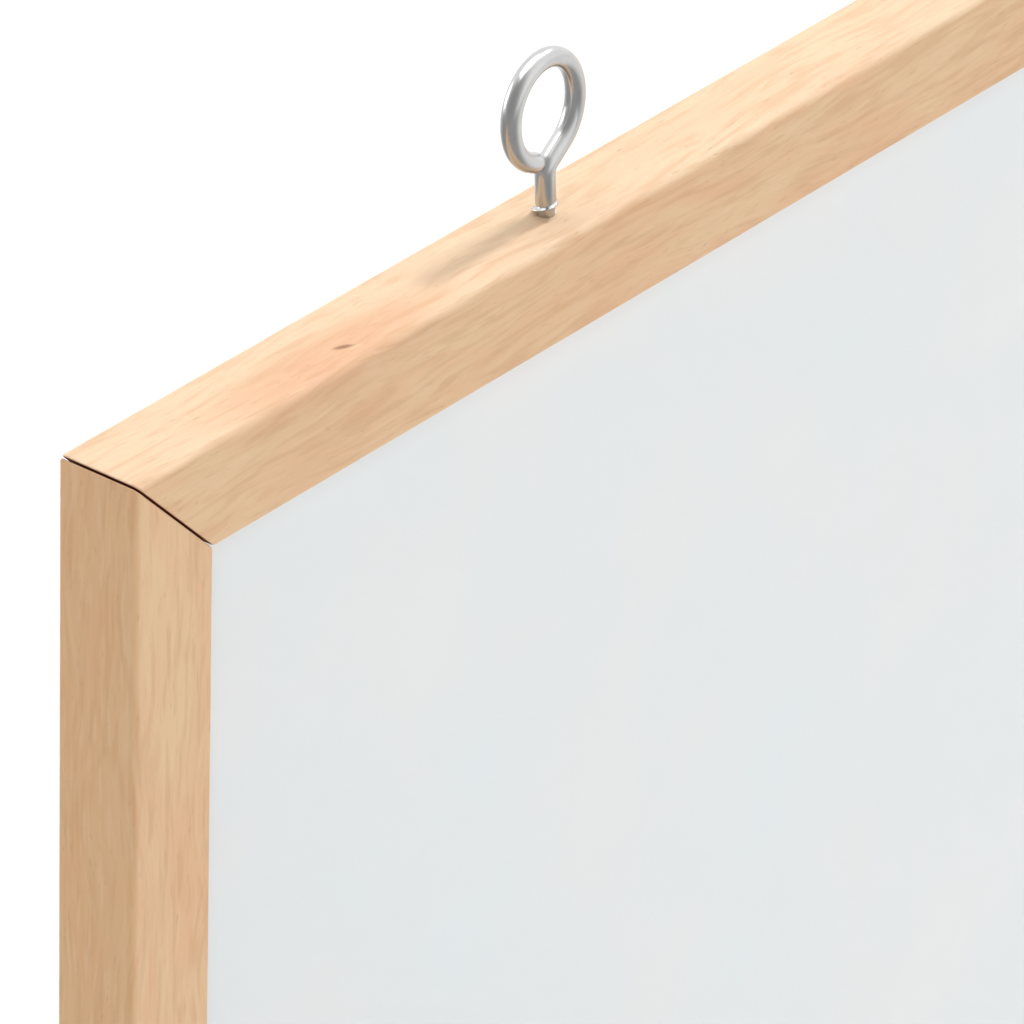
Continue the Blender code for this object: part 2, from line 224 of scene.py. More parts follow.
def on_screen(red, green, blue):
    """A colour as a screen shows it, 0 to 255, turned into the light that a shader works in."""
    shares = [part / 255 for part in (red, green, blue)]
    light = [part / 12.92 if part <= 0.04045 else ((part + 0.055) / 1.055) ** 2.4 for part in shares]
    return (*light, 1.0)


def new_finish(name):
    """An empty finish: the material, its node tree and its shader."""
    finish = bpy.data.materials.new(name)
    finish.use_nodes = True
    return finish, finish.node_tree, finish.node_tree.nodes["Principled BSDF"]


def own_place(tree):
    """Places in the piece's own axes, in metres."""
    return add(tree, "ShaderNodeTexCoord").outputs["Object"]


# %% [markdown]
# ## Oiled beech
#
# Steamed beech is a pale pinkish straw. Its figure is quiet: wide soft changes of tone, finer
# streaks along the grain, and the short brown flecks that tell beech from other pale woods. Each
# of these is one noise with its own size, mixed over the last. A first noise bends the whole
# figure a little, because no real grain runs dead straight. Where two rails meet, the end faces
# are painted dark brown: painted shade for the gap between them. The outer face of each rail is
# painted too: a paler painted sheen on top of the top rail, and a darker, warmer painted shade on
# the outer faces of the others.
#
# The texture is solid, so the figure runs through the wood and turns over its edges. Each rail is
# drawn along its own X axis, and so the grain follows the rail without any unwrapping.

# %% Beech colours
STRAW = on_screen(230, 195, 155)
ROSE = on_screen(229, 186, 146)
PALE = on_screen(238, 208, 174)
# Painted shade: the darker, warmer outer faces of the stiles and the bottom rail.
PAINTED_SIDE_SHADE = on_screen(216, 170, 118)
# Painted sheen: the top rail's top face, paler where the light from above falls on it.
PAINTED_TOP_SHEEN = on_screen(234, 210, 182)
LATE_WOOD = on_screen(206, 158, 116)
FLECK = on_screen(176, 126, 86)
STAIN = on_screen(221, 168, 132)
KNOT_HEART = on_screen(122, 82, 52)


# %% How large the marks in beech are
# A mark's size (along, deep, across), the noise's detail and roughness, its offset, and the two
# values of the noise at which the mark starts and is full. Gather says where flecks crowd together.
SWAY_SIZE = (0.060, 0.020, 0.020)
SWAY_REACH = (0.0, 0.011, 0.011)
PATTERNS = {
    "tone": ((0.034, 0.007, 0.007), 3.0, 0.55, NOT_MOVED, (0.36, 0.64)),
    "dark": ((0.016, 0.0016, 0.0016), 1.5, 0.5, NOT_MOVED, (0.44, 0.70)),
    "light": ((0.011, 0.0012, 0.0012), 1.5, 0.5, (3.0, 8.0, 5.0), (0.46, 0.72)),
    "streaks": ((0.009, 0.0006, 0.0006), 2.0, 0.5, (9.0, 1.0, 4.0), (0.56, 0.76)),
    "gather": ((0.020, 0.004, 0.004), 1.0, 0.5, NOT_MOVED, (0.40, 0.65)),
    "flecks": ((0.0034, 0.0005, 0.0005), 1.0, 0.5, (6.0, 2.0, 7.0), (0.66, 0.76)),
}
# The marks that are laid over the ground tone, in this order, each by its share.
LAYERS = (
    ("dark", 0.36, LATE_WOOD),
    ("light", 0.22, PALE),
    ("streaks", 0.26, LATE_WOOD),
    ("flecks", 0.32, FLECK),
)
print("patterns in the beech:", ", ".join(PATTERNS))


# %% Beech figure
def beech_figure(tree, start):
    """Places bent along the grain, and the patterns on them by name."""
    place = vector(tree, "ADD", own_place(tree), start)
    sway = add(tree, "ShaderNodeTexNoise", {"Vector": spread(tree, place, SWAY_SIZE), "Scale": 1.0})
    bend = vector(tree, "SUBTRACT", sway.outputs["Color"], (0.5, 0.5, 0.5))
    place = vector(tree, "ADD", place, vector(tree, "MULTIPLY", bend, SWAY_REACH))
    found = {}
    for name, (size, detail, roughness, offset, (low, high)) in PATTERNS.items():
        found[name] = ease(tree, marks(tree, place, size, detail, roughness, offset), low, high)
    found["flecks"] = figure(tree, "MULTIPLY", found["flecks"], found["gather"])
    return place, found


# %% Painted sheen and shade on a rail's outer face, and painted shade at its ends
OUTER_FACE_PAINT_FADE = (-RIDGE_RADIUS, -0.0003)
# Painted shade: the end faces and their eased edges at each mitre are painted dark brown, for the shaded gap.
MITRE_SHADE = on_screen(120, 36, 10)
MITRE_SHADE_SHARE = 0.85
MITRE_SHADE_FADE = (0.00025, 0.00045)


def paint_outer_face_light(tree, edge, colour):
    """Paints a rail's outer face, by a share: painted sheen on the top rail, painted shade on the others."""
    parts = add(tree, "ShaderNodeSeparateXYZ", {0: own_place(tree)}).outputs
    outer_face_paint_colour, share = edge
    return tint(tree, ease(tree, parts["Z"], *OUTER_FACE_PAINT_FADE, 0.0, share), colour, outer_face_paint_colour)


def paint_mitre_shade(tree, length, colour):
    """Paints shade on the end faces, which are cut at 45 degrees, where the gap between two rails is dark."""
    parts = add(tree, "ShaderNodeSeparateXYZ", {0: own_place(tree)}).outputs
    reach = figure(tree, "ADD", parts["Z"], length / 2)
    from_end = figure(tree, "SUBTRACT", reach, figure(tree, "ABSOLUTE", parts["X"]))
    return tint(tree, ease(tree, from_end, *MITRE_SHADE_FADE, MITRE_SHADE_SHARE, 0.0), colour, MITRE_SHADE)


# %% Beech finish
def beech(name, length, start, edge, knot=None):
    """Oiled beech for one rail; start picks its place in the tree, so that no two rails match."""
    finish, tree, shader = new_finish(name)
    place, found = beech_figure(tree, start)
    # The outer face gets its painted sheen or its painted shade here.
    colour = paint_outer_face_light(tree, edge, tint(tree, found["tone"], ROSE, STRAW))
    if knot:
        colour = knot_stain(tree, knot, colour)
    for layer, share, layer_colour in LAYERS:
        colour = tint(tree, figure(tree, "MULTIPLY", found[layer], share), colour, layer_colour)
    # Painted shade at the mitres.
    colour = paint_mitre_shade(tree, length, colour)
    relief = figure(tree, "ADD", found["streaks"], found["flecks"])
    if knot:
        colour, relief = knot_heart(tree, knot, colour, relief)
    bump = add(tree, "ShaderNodeBump", {"Strength": 0.5, "Distance": 0.00006, "Height": relief}, invert=True)
    fine = marks(tree, place, (0.004, 0.0004, 0.0004), 2.0)
    tree.links.new(colour, shader.inputs["Base Color"])
    tree.links.new(ease(tree, fine, 0.3, 0.7, 0.56, 0.68), shader.inputs["Roughness"])
    tree.links.new(bump.outputs[0], shader.inputs["Normal"])
    shader.inputs["Specular IOR Level"].default_value = 0.35
    return finish


# %% [markdown]
# ### A pin knot
#
# One small knot shows on top of the top rail, near its left end. It is a lens a few millimetres
# long that lies a little across the grain, with a rosy stain round it. A knot could be modelled,
# but this one is planed flush, so it is only a change of colour: an ellipsoid in the solid
# texture, squeezed to a lens.

# %% Knot in the grain
def lens(tree, centre, turn, size):
    """Distance from a centre, where 1 is the skin of a turned ellipsoid."""
    wires = {"Vector": own_place(tree), "Location": centre, "Rotation": (0.0, 0.0, turn), "Scale": size}
    return length_of(tree, add(tree, "ShaderNodeMapping", wires, vector_type="TEXTURE").outputs[0])


STAIN_SIZE = (0.042, 0.0095, 0.010)
STAIN_SHIFT = -0.004
CURL_SIZE = (0.0030, 0.0010, 0.003)
CURL_SHIFT = 0.0012
HEART_SIZE = (0.0027, 0.00085, 0.003)


def knot_stain(tree, knot, colour):
    """Makes the wood rosier round a pin knot, a little more on its left."""
    centre, _ = knot
    middle = (centre[0] + STAIN_SHIFT, centre[1], 0.0)
    share = ease(tree, lens(tree, middle, 0.0, STAIN_SIZE), 0.25, 1.0, 0.75, 0.0)
    return tint(tree, share, colour, STAIN)


def knot_heart(tree, knot, colour, relief):
    """Darkens and sinks the knot's heart, with a pale curl of grain beside it."""
    centre, turn = knot
    beside = (centre[0] + CURL_SHIFT, centre[1] - CURL_SHIFT, 0.0)
    curl = ease(tree, lens(tree, beside, turn, CURL_SIZE), 0.20, 1.0, 0.35, 0.0)
    colour = tint(tree, curl, colour, PALE)
    heart = ease(tree, lens(tree, centre, turn, HEART_SIZE), 0.30, 1.0)
    heart = figure(tree, "SUBTRACT", 1.0, heart)
    colour = tint(tree, figure(tree, "MULTIPLY", heart, 0.70), colour, KNOT_HEART)
    return colour, figure(tree, "ADD", relief, figure(tree, "MULTIPLY", heart, 2.0))


# %% [markdown]
# ## The rails
#
# Each side of the frame is a length of rebated moulding with its ends cut at 45 degrees. The
# section could be extruded and its ends cut off, but then the eased edges along the mitres would
# be lost. So the sections themselves lean: at every point the end is set back by as much as that
# point lies in from the outer edge, and the last few sections are drawn in to round the edge over.
#
# A hand-sanded ridge is never quite even. Its radius wanders by a fraction of a millimetre from
# station to station, which is what makes the light on it look like wood and not like plastic.

# %% The moulding's outline
def moulding_outline(ridge=RIDGE_RADIUS):
    """x is the distance in from the outer edge, y the distance back from the face."""
    return rounded([
        (Vector((0, 0)), ridge),
        (Vector((FACE_WIDTH, 0)), SIGHT_RADIUS),
        (Vector((FACE_WIDTH, LIP_THICKNESS)), 0),
        (Vector((REBATE_WALL, LIP_THICKNESS)), 0),
        (Vector((REBATE_WALL, DEPTH)), 0),
        (Vector((0, DEPTH)), BACK_RADIUS),
    ])


print("points round the moulding:", len(moulding_outline()))

# %% Stations along a rail
STATION_STEP = 0.0025
RIDGE_WANDER = 0.22
WANDER_LENGTH = 0.011


def rail_sections(length, seed):
    """Leaning sections from one mitre to the other."""
    eased_ends = list(easing(END_ROUNDING, 6))
    stations = [(-1.0, *eased) for eased in eased_ends]
    count = round(length / STATION_STEP)
    stations += [(2 * step / count - 1, 0.0, END_ROUNDING) for step in range(1, count)]
    stations += [(1.0, *eased) for eased in reversed(eased_ends)]
    sections = []
    for share, drawn_in, stopped_back in stations:
        wander = noise.noise(Vector((share * length / 2 / WANDER_LENGTH, seed, 0.5)))
        outline = moulding_outline(RIDGE_RADIUS * (1 + RIDGE_WANDER * wander))
        section = []
        for index, corner in enumerate(outline):
            inward, back = corner - outward(outline, index) * drawn_in
            reach = length / 2 - inward - (MITRE_GAP / 2 + stopped_back) * math.sqrt(2)
            section.append(Vector((share * reach, FRONT + back, -inward)))
        sections.append(section)
    return sections


# %% Where the rails go
centre_height = (board_low.z + board_high.z) / 2
KNOT = ((-0.2411, -0.0037, 0.0), math.radians(-26))
RAILS = {
    "top_rail": (WIDTH, Vector((0, 0, board_high.z)), 0.0, 3),
    "right_stile": (HEIGHT, Vector((board_high.x, 0, centre_height)), math.pi / 2, 2),
    "bottom_rail": (WIDTH, Vector((0, 0, board_low.z)), math.pi, 3),
    "left_stile": (HEIGHT, Vector((board_low.x, 0, centre_height)), -math.pi / 2, 2),
}
# Each rail's second entry is the painted light on its outer face: painted sheen on top, painted shade
# elsewhere.
WOOD = {
    "top_rail": ((1.31, 0.12, 0.40), (PAINTED_TOP_SHEEN, 0.50), KNOT),
    "right_stile": ((2.70, 0.31, 0.15), (PAINTED_SIDE_SHADE, 0.50), None),
    "bottom_rail": ((4.20, 0.52, 0.27), (PAINTED_SIDE_SHADE, 0.50), None),
    "left_stile": ((6.13, 0.74, 0.33), (PAINTED_SIDE_SHADE, 0.50), None),
}

# %% Make the four rails
rails = {}
for seed, (node, (length, place, turn, _)) in enumerate(RAILS.items()):
    wood = beech("oiled_beech_" + node, length, *WOOD[node])
    rail = skin("beech_" + node, rail_sections(length, seed), wood)
    rail.matrix_world = Matrix.Translation(place) @ Matrix.Rotation(turn, 4, "Y")
    rails[node] = rail
    print(rail.name, len(rail.data.polygons), "faces")

# %% [markdown]
# ## V-nails
#
# From behind, each mitre is held by two V-nails: bent strips of blued spring steel that are pressed
# across the joint until they sit just under the surface. A strip with thickness could come from a
# Solidify modifier. Here its outline is skinned like everything else, with the back edge eased, so
# that it catches a thin line of light. The same outline, a hair larger, cuts its slot.

# %% Blued steel
def blued_steel():
    """Dark spring steel: grey with a blue-brown bloom, and fine wear scratches."""
    finish, tree, shader = new_finish("blued_spring_steel")
    place = own_place(tree)
    bloom = ease(tree, marks(tree, place, (0.006, 0.006, 0.006), 3.0), 0.35, 0.65)
    colour = tint(tree, bloom, on_screen(112, 118, 128), on_screen(138, 134, 130))
    scratches = ease(tree, marks(tree, place, (0.0045, 0.0001, 0.0002), 2.0, 0.6), 0.60, 0.70)
    colour = tint(tree, figure(tree, "MULTIPLY", scratches, 0.5), colour, on_screen(180, 182, 184))
    bump = add(tree, "ShaderNodeBump", {"Strength": 0.3, "Distance": 0.00001, "Height": scratches})
    tree.links.new(colour, shader.inputs["Base Color"])
    tree.links.new(ease(tree, bloom, 0.0, 1.0, 0.30, 0.42), shader.inputs["Roughness"])
    tree.links.new(bump.outputs[0], shader.inputs["Normal"])
    shader.inputs["Metallic"].default_value = 1.0
    return finish


spring_steel = blued_steel()

# %% The V and its slot
NAIL_LEG = 0.0045
NAIL_FLARE = 0.0008
NAIL_FLARE_LENGTH = 0.0018
NAIL_THICKNESS = 0.0005
NAIL_INSET = 0.0065
NAIL_SPACING = 0.0045
NAIL_EDGE = 0.00008
SLOT_EDGE = 0.00001
FIT = 0.00006


def v_outline(clearance, sx, sz):
    """A V with its apex at the origin and flared legs towards one corner of the frame."""
    half = NAIL_THICKNESS / 2 + clearance
    tip = NAIL_LEG + clearance
    knee = NAIL_LEG - NAIL_FLARE_LENGTH
    outer = [(-half, -half), (knee, -half), (tip, -half - NAIL_FLARE)]
    inner = [(tip, half - NAIL_FLARE), (knee, half), (half, half)]
    mirrored = [(up, across) for across, up in reversed(outer[1:] + inner[:2])]
    outline = [Vector((sx * across, sz * up)) for across, up in outer + inner + mirrored]
    return outline if sx * sz > 0 else outline[::-1]


# %% A flat outline with its two edges eased
def pressed(name, outline, front, back, amount, finish):
    """An outline in X and Z given depth, with the edges at both ends eased."""
    sections = []
    for drawn_in, stopped_back in easing(amount, 3):
        drawn = [corner - outward(outline, index) * drawn_in for index, corner in enumerate(outline)]
        sections.append([Vector((point.x, front + stopped_back, point.y)) for point in drawn])
        sections.append([Vector((point.x, back - stopped_back, point.y)) for point in drawn])
    return skin(name, sections[::2] + sections[::-2], finish)


# %% Cutting tools
def cut(piece, tool):
    """Takes the tool's shape out of a piece, by Blender's exact solver."""
    slot = piece.modifiers.new("cut_" + tool.name, "BOOLEAN")
    slot.operation, slot.solver, slot.object = "DIFFERENCE", "EXACT", tool


# %% Drive the V-nails
tools = []
v_nails = []
for side, sx in (("left", -1), ("right", 1)):
    for level, sz in (("bottom", -1), ("top", 1)):
        for number in (1, 2):
            node = f"v_nail_{level}_{side}_{number}"
            low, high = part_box(node)
            apex = NAIL_INSET + NAIL_SPACING * (number - 1)
            place = Vector((sx * (WIDTH / 2 - apex), 0, centre_height + sz * (HEIGHT / 2 - apex)))
            nail = pressed("steel_" + node, v_outline(0, sx, sz), low.y, high.y, NAIL_EDGE, spring_steel)
            slot_outline = v_outline(FIT, sx, sz)
            slot = pressed("slot_" + node, slot_outline, low.y - FIT, BACK + FIT, SLOT_EDGE, spring_steel)
            nail.location = slot.location = place
            cut(rails["top_rail" if sz > 0 else "bottom_rail"], slot)
            cut(rails["right_stile" if sx > 0 else "left_stile"], slot)
            v_nails.append((nail, node))
            tools.append(slot)
print("V-nails:", len(v_nails), "with", len(v_nails[0][0].data.polygons), "faces each")

# %% [markdown]
# ## Framer's points
#
# The panel is held down by flat steel points. A framer fires them into the rebate's wall, and
# their free ends spring down onto the panel. On the solids they are flat plates. Here each one is
# skinned along its length, which lets it taper to its nose, round its free end, and bend down until
# it touches the paper.

# %% A point's section, station by station
TAB_LENGTH = 0.020
TAB_WIDTH = 0.008
TAB_BITE = 0.0055
TAB_TAPER = 0.0035
TAB_NOSE = 0.002
TAB_CORNER = 0.0015
TAB_EDGE = 0.00012
TAB_INSET = 0.070
TAB_STEP = 0.0005
TAB_THICKNESS = 0.0005
TAB_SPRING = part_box("framers_point_top_rail_1")[0].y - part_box("back_liner")[1].y


def tab_half_width(along):
    """Half the plate's width, at a distance from its free end."""
    if along < TAB_CORNER:
        return TAB_WIDTH / 2 - TAB_CORNER + math.sqrt(max(0.0, TAB_CORNER ** 2 - (TAB_CORNER - along) ** 2))
    taper = max(0.0, along - (TAB_LENGTH - TAB_TAPER)) / TAB_TAPER
    return TAB_WIDTH / 2 + (TAB_NOSE - TAB_WIDTH) / 2 * taper


def tab_sections(front, clearance=0.0, spring=TAB_SPRING):
    """Sections of a point on the top rail, from its free end up to its nose in the wood."""
    stations = [TAB_CORNER * (1 - math.cos(step / 8 * math.pi / 2)) for step in range(8)]
    stations += [TAB_CORNER + TAB_STEP * step for step in range(30)]
    stations += [TAB_LENGTH - TAB_TAPER, TAB_LENGTH]
    sections = []
    for along in sorted(stations):
        half = tab_half_width(along) + clearance
        outside = 1 - along / (TAB_LENGTH - TAB_BITE)
        sag = spring * max(0.0, outside) ** 1.5
        low, high = front - sag - clearance, front - sag + TAB_THICKNESS + clearance
        corners = [Vector((-half, low)), Vector((half, low)), Vector((half, high)), Vector((-half, high))]
        plate = rounded([(corner, TAB_EDGE) for corner in corners], 3)
        sections.append([Vector((point.x, point.y, TAB_BITE - TAB_LENGTH + along)) for point in plate])
    return sections


# %% Fire the points into the rebate
points = []
for node_of_rail, (length, place, turn, count) in RAILS.items():
    span = length - 2 * (FACE_WIDTH + TAB_INSET)
    rail_place = Matrix.Translation(place) @ Matrix.Rotation(turn, 4, "Y")
    for number in range(count):
        node = f"framers_point_{node_of_rail}_{number + 1}"
        along = -span / 2 + span * number / (count - 1)
        wall = rail_place @ Matrix.Translation((along, 0, -REBATE_WALL))
        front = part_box(node)[0].y
        point = skin("steel_" + node, tab_sections(front), spring_steel)
        slit = skin("slit_" + node, tab_sections(front, FIT, 0.0), spring_steel)
        point.matrix_world = slit.matrix_world = wall
        cut(rails[node_of_rail], slit)
        points.append((point, node))
        tools.append(slit)
print("framer's points:", len(points), "with", len(points[0][0].data.polygons), "faces each")

# %% [markdown]
# ## Screw eyes
#
# A screw eye is one piece of wire. From the tip up: a tapered root with a thread, a neck, a straight
# shank, a bend to the side, a short straight and nearly a full ring, whose rounded end stops just
# short of the shank. A curve with a bevel would give the wire, and the thread could be a second
# mesh. Instead we skin round sections along the line and let their radius swell wherever the
# thread's crest passes. The thread then grows out of the root as it does when it is rolled, and
# the whole eye is one clean mesh.

# %% The wire's line
WIRE = 0.00185
RING = 0.0094
BEND = 0.0027
BEND_TURN = math.radians(59)
BEND_START = 0.0074
RING_END_GAP = 0.0003
SCREW_DEPTH = 0.0122
TIP_LENGTH = 0.0045
TIP_RADIUS = 0.0003
ROOT = 0.0016
NECK_HEIGHT = 0.0015
NECK_LENGTH = 0.0006


def polar(centre, radius, angle):
    """The point on a circle at an angle."""
    return centre + Vector((math.cos(angle), math.sin(angle))) * radius


def tangent(angle):
    """The way along a circle at an angle, anticlockwise."""
    return Vector((-math.sin(angle), math.cos(angle)))


def smooth_share(value):
    """0 to 1 with a soft start and a soft end."""
    value = max(0.0, min(1.0, value))
    return value * value * (3 - 2 * value)


def shank_radius(height):
    """The root swells from its tip to a cylinder, and at the neck becomes the full wire."""
    taper = TIP_RADIUS + (ROOT - TIP_RADIUS) * min(1.0, (height + SCREW_DEPTH) / TIP_LENGTH)
    return taper + (WIRE - ROOT) * smooth_share((height - NECK_HEIGHT) / NECK_LENGTH)


# %% Where the ring stands and stops
sine, cosine = math.sin(BEND_TURN), math.cos(BEND_TURN)
straight = (RING * cosine - BEND * (1 - cosine)) / sine
bend_centre = Vector((BEND, BEND_START))
ring_start = polar(bend_centre, BEND, math.pi - BEND_TURN) + Vector((sine, cosine)) * straight
ring_centre = polar(ring_start, RING, math.pi - BEND_TURN)
to_bend = bend_centre - ring_centre
reach = BEND + 2 * WIRE + RING_END_GAP
opening = math.acos((RING ** 2 + to_bend.length ** 2 - reach ** 2) / (2 * RING * to_bend.length))
ring_end = math.atan2(to_bend.y, to_bend.x) + 2 * math.pi - opening
print(f"straight {straight * 1000:.2f} mm, ring centre {ring_centre.y * 1000:.2f} mm up the shank")


# %% Walk along the line
THREAD_STEP = 0.0001
THREAD_TOP = 0.0040
SHANK_STEP = 0.0004
RING_STEP = math.radians(3)
TIP_POINT = 0.04


def eye_line():
    """Yields (centre, direction, radius, height) from the screw's tip to the ring's end.

    The height up the shank is None where no thread can be.
    """
    up = Vector((0, 1))
    for step in range(8):
        angle = step / 8 * math.pi / 2
        tip = Vector((0, -SCREW_DEPTH - TIP_RADIUS * math.cos(angle)))
        yield tip, up, TIP_RADIUS * max(TIP_POINT, math.sin(angle)), None
    rise = -SCREW_DEPTH
    while rise < BEND_START:
        yield Vector((0, rise)), up, shank_radius(rise), rise
        rise += THREAD_STEP if rise < THREAD_TOP else SHANK_STEP
    for step in range(21):
        angle = math.pi - BEND_TURN * step / 20
        yield polar(bend_centre, BEND, angle), -tangent(angle), WIRE, None
    bend_end = polar(bend_centre, BEND, math.pi - BEND_TURN)
    for step in range(1, 6):
        yield bend_end.lerp(ring_start, step / 6), Vector((sine, cosine)), WIRE, None
    turns = round((ring_end + BEND_TURN) / RING_STEP)
    for step in range(turns + 1):
        angle = -BEND_TURN + (ring_end + BEND_TURN) * step / turns
        yield polar(ring_centre, RING, angle), tangent(angle), WIRE, None
    for step in range(1, 12):
        bulge = step / 12 * math.pi / 2
        angle = ring_end + WIRE * math.sin(bulge) / RING
        yield polar(ring_centre, RING, angle), tangent(angle), WIRE * math.cos(bulge), None


# %% The thread as a swelling
PITCH = 0.0030
CREST = 0.0025
THREAD_START = 0.0034
THREAD_TURN = math.radians(57)
THREAD_FOOT = ROOT - 0.0005
THREAD_HALF_BASE = 0.00065
THREAD_FADE = 0.5
CREST_ROUNDING = 0.16
turns_of_thread = (THREAD_START + SCREW_DEPTH) / PITCH - THREAD_FADE / 2


def thread_radius(height, angle):
    """How far out a right-handed thread stands at a height and angle on the shank, or 0 off it."""
    turn = (THREAD_TURN - angle) / (2 * math.pi)
    crest_height = THREAD_START - turn * PITCH
    nearest = round((crest_height - height) / PITCH)
    turn += nearest
    away = abs(height - (THREAD_START - turn * PITCH)) / THREAD_HALF_BASE
    fade = smooth_share(min(turn, turns_of_thread - turn) / THREAD_FADE)
    if away >= 1 or fade == 0:
        return 0.0
    flank = math.hypot(1, CREST_ROUNDING) - math.hypot(away, CREST_ROUNDING)
    rise = flank / (math.hypot(1, CREST_ROUNDING) - CREST_ROUNDING)
    sunk = ROOT - shank_radius(min(height, NECK_HEIGHT))
    return THREAD_FOOT - sunk + (CREST - THREAD_FOOT) * fade * rise


# %% Sections round the wire
WIRE_SIDES = 64


def eye_sections(clearance=0.0, highest=1.0):
    """Round sections on the wire's line up to a height, with the thread where it passes."""
    sections = []
    for centre, direction, radius, height in eye_line():
        if centre.y >= highest:
            continue
        out = Vector((direction.y, 0, -direction.x))
        middle = Vector((centre.x, 0, centre.y))
        section = []
        for side in range(WIRE_SIDES):
            angle = 2 * math.pi * side / WIRE_SIDES
            swell = radius if height is None else max(radius, thread_radius(height, angle))
            sideways = out * math.cos(angle) + Vector((0, 1, 0)) * math.sin(angle)
            section.append(middle + sideways * (swell + clearance))
        sections.append(section)
    return sections


# %% [markdown]
# ### Satin zinc
#
# The plating on a screw eye is bright but not a mirror. The wire was drawn through a die before it
# was plated, and that leaves faint lines along it. Lines along a bent wire can't come from plain
# object places, so each vertex keeps its place on the straight wire, as if it had never been bent,
# and the noise is laid on that.

# %% Keep each vertex's place on the straight wire
def remember_straight_wire(eye, sections):
    """Stores (across, across, along) on the unbent wire for every vertex."""
    along, values = 0.0, []
    middles = [sum(section, Vector()) / len(section) for section in sections]
    for number, (section, middle) in enumerate(zip(sections, middles)):
        along += (middle - middles[max(0, number - 1)]).length
        for side in range(WIRE_SIDES):
            angle = 2 * math.pi * side / WIRE_SIDES
            values += [WIRE * math.cos(angle), WIRE * math.sin(angle), along]
    store = eye.data.attributes.new("straight_wire", "FLOAT_VECTOR", "POINT")
    store.data.foreach_set("vector", values)


# %% Zinc finish
def satin_zinc():
    """Zinc plate over drawn wire: cool grey, faint drawing lines, a very fine grain."""
    finish, tree, shader = new_finish("satin_zinc_plate")
    place = add(tree, "ShaderNodeAttribute", attribute_name="straight_wire").outputs["Vector"]
    cloud = ease(tree, marks(tree, place, (0.003, 0.003, 0.012), 3.0), 0.35, 0.65)
    lines = marks(tree, place, (0.00018, 0.00018, 0.020), 2.0, 0.6)
    grain = marks(tree, place, (0.00012, 0.00012, 0.00012), 1.0)
    colour = tint(tree, cloud, on_screen(193, 193, 193), on_screen(206, 206, 205))
    rough = ease(tree, cloud, 0.0, 1.0, 0.215, 0.245)
    rough = figure(tree, "ADD", rough, ease(tree, lines, 0.4, 0.7, 0.0, 0.02))
    height = figure(tree, "ADD", figure(tree, "MULTIPLY", lines, 0.7), figure(tree, "MULTIPLY", grain, 0.3))
    bump = add(tree, "ShaderNodeBump", {"Strength": 0.25, "Distance": 0.00001, "Height": height})
    tree.links.new(colour, shader.inputs["Base Color"])
    tree.links.new(rough, shader.inputs["Roughness"])
    tree.links.new(bump.outputs[0], shader.inputs["Normal"])
    shader.inputs["Metallic"].default_value = 1.0
    return finish


zinc = satin_zinc()

# %% Turn the eyes into the top rail
EYE_INSET = 0.1179
EYE_TWIST = math.radians(2.9)
EYE_LEAN = math.radians(3.5)
BORE_FIT = 0.00003
BORE_TOP = 0.0036
eyes = []
for side, sx in (("left", -1), ("right", 1)):
    stand = Matrix.Translation((sx * (WIDTH / 2 - EYE_INSET), 0, board_high.z))
    stand = stand @ Matrix.Rotation(EYE_TWIST, 4, "Z") @ Matrix.Rotation(-EYE_LEAN, 4, "X")
    sections = eye_sections()
    eye = skin("zinc_screw_eye_" + side, sections, zinc)
    remember_straight_wire(eye, sections)
    bore = skin("bore_" + side, eye_sections(BORE_FIT, highest=BORE_TOP), zinc)
    eye.matrix_world = bore.matrix_world = stand
    eye.data.shade_smooth()
    cut(rails["top_rail"], bore)
    eyes.append((eye, "screw_eye_" + side))
    tools.append(bore)
    print(eye.name, len(eye.data.polygons), "faces")

# %% [markdown]
# ## Settling the cuts
#
# All slots, slits and bores are now waiting on the rails as Boolean modifiers. We let Blender work
# them out once and keep the result as the rail's own mesh. Then the tools can go, and the normals
# are made from the final faces.

# %% Keep the cut rails
bpy.context.view_layer.update()
for rail in rails.values():
    shaped = rail.evaluated_get(bpy.context.evaluated_depsgraph_get())
    mesh = bpy.data.meshes.new_from_object(shaped)
    mesh.name = rail.name
    rail.modifiers.clear()
    rail.data = mesh
    shade(rail)
    print(rail.name, len(mesh.polygons), "faces after cutting")
for tool in tools:
    bpy.data.objects.remove(tool, do_unlink=True)

# %% Shade the steel
for piece, _ in v_nails + points:
    shade(piece)

# %% Let each piece stand for its solid
dressed = [(rails[node], node, "beech") for node in RAILS]
dressed += [(piece, node, "blued_steel") for piece, node in v_nails + points]
dressed += [(piece, node, "zinc_wire") for piece, node in eyes]
for piece, node, slot in dressed:
    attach(piece, "root")
    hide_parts(node)
print("pieces that stand for solids:", len(dressed))

# %% [markdown]
# ## The panel
#
# The sheet, the core and the paper are flat plates, so their solids are already right and stay.
# They only need a finish. The writing face is steel under white lacquer: nearly white, a touch
# cool, glossy, with the faint unevenness of a baked coat and the cloudy trace that a dry eraser
# leaves in its gloss. Along the frame a grey is painted in, as painted shade where the lip shades
# the sheet.

# %% White lacquer
# Painted shade: the sheet turns greyer within about 10 mm of the frame, where the lip shades it.
LIP_SHADE_FADE = (-0.001, 0.009)
LIP_SHADE_SHARE = 0.9


